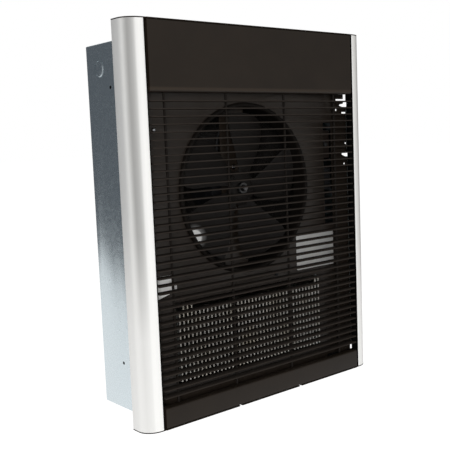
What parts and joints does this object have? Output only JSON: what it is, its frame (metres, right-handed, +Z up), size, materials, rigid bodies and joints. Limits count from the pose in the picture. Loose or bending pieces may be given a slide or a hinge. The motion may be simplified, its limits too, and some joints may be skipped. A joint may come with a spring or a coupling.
{
  "type": "recessed wall heater",
  "caption": "Recessed fan-forced electric wall heater: a folded steel wall box, a bowed-rail cover with a bar grille, an axial fan and a finned element.",
  "frame": {"origin": "centre of the wall box's flat back face", "axes": "+Y into the wall, along the outward normal of the back face; +Z up; +X to the right seen from the front, which faces -Y"},
  "size_m": [0.422, 0.146, 0.5154],
  "materials": {
    "galvanised": "spangled zinc coating",
    "inner_steel": "plain zinc coating",
    "rail_aluminium": "satin anodised",
    "bronze_paint": "satin",
    "inner_paint": "satin",
    "fan_finish": "satin",
    "fins": "mill finish",
    "motor_paint": "semi gloss",
    "core_iron": "bare laminations",
    "bushes": "plain",
    "zinc": "zinc plated",
    "dark_screws": "satin",
    "ground_green": "gloss",
    "moulding": "moulded phenolic",
    "black_plastic": "fine grain",
    "porcelain": "glazed porcelain",
    "blank_card": "plain film",
    "white_lead": "insulated wire",
    "black_lead": "insulated wire"
  },
  "bodies": {
    "heater": {"top_cap": "bronze_paint", "bottom_cap": "bronze_paint", "wall_box": "galvanised", "control_bracket": "inner_steel", "element_bracket_left": "inner_steel", "element_bracket_right": "inner_steel", "discharge_baffle": "inner_steel", "left_rail": "rail_aluminium", "right_rail": "rail_aluminium", "top_panel": "bronze_paint", "bottom_panel": "bronze_paint", "bar_grille": "bronze_paint", "mounting_frame": "inner_paint", "fan_panel": "inner_paint", "orifice_ring": "inner_paint", "motor_bracket": "inner_paint", "heating_element": "fins", "motor_housing": "motor_paint", "motor_end_bell": "motor_paint", "motor_stator": "core_iron", "front_bearing": "bushes", "rear_bearing": "bushes", "panel_screw_upper_left": "zinc", "panel_screw_upper_right": "zinc", "panel_screw_lower_left": "zinc", "panel_screw_lower_right": "zinc", "frame_screw_upper_left": "zinc", "frame_screw_upper_right": "zinc", "frame_screw_lower_left": "zinc", "frame_screw_lower_right": "zinc", "motor_screw_upper": "zinc", "motor_screw_lower": "zinc", "cover_screw_top_left": "dark_screws", "cover_screw_top_right": "dark_screws", "cover_screw_bottom_left": "dark_screws", "cover_screw_bottom_right": "dark_screws", "ground_screw": "ground_green", "thermostat_body": "moulding", "cutout_body": "moulding", "terminal_block": "moulding", "disconnect_switch_body": "black_plastic", "fan_delay_relay": "black_plastic", "element_terminal_upper": "porcelain", "element_terminal_lower": "porcelain", "rating_plate": "blank_card", "blank_tag": "blank_card", "lead_neutral": "white_lead", "lead_motor": "white_lead", "lead_cutout": "white_lead", "lead_line": "black_lead", "lead_thermostat": "black_lead", "lead_switch": "black_lead", "lead_element": "black_lead"},
    "fan": {"fan_blades": "fan_finish", "fan_hub": "zinc", "motor_rotor": "core_iron"},
    "thermostat_dial": {"thermostat_shaft": "zinc"},
    "rocker": {"switch_rocker": "black_plastic"},
    "reset": {"reset_button": "black_plastic"}
  },
  "joints": [
    {"name": "fan_spin", "type": "hinge", "parent": "heater", "child": "fan", "pos_m": [0, -0.094, 0.0441], "axis": [0, 1, 0], "continuous": true},
    {"name": "thermostat_turn", "type": "hinge", "parent": "heater", "child": "thermostat_dial", "pos_m": [0.161, -0.105, 0.1], "axis": [0, 1, 0], "range_deg": [0, 270]},
    {"name": "rocker_tip", "type": "hinge", "parent": "heater", "child": "rocker", "pos_m": [0.167, -0.1025, 0.047], "axis": [1, 0, 0], "range_deg": [0, 18]},
    {"name": "reset_press", "type": "slide", "parent": "heater", "child": "reset", "axis": [0, 1, 0], "range_m": [0, 0.0015], "stiffness_N_per_m": 400, "springref_m": -0.001}
  ]
}
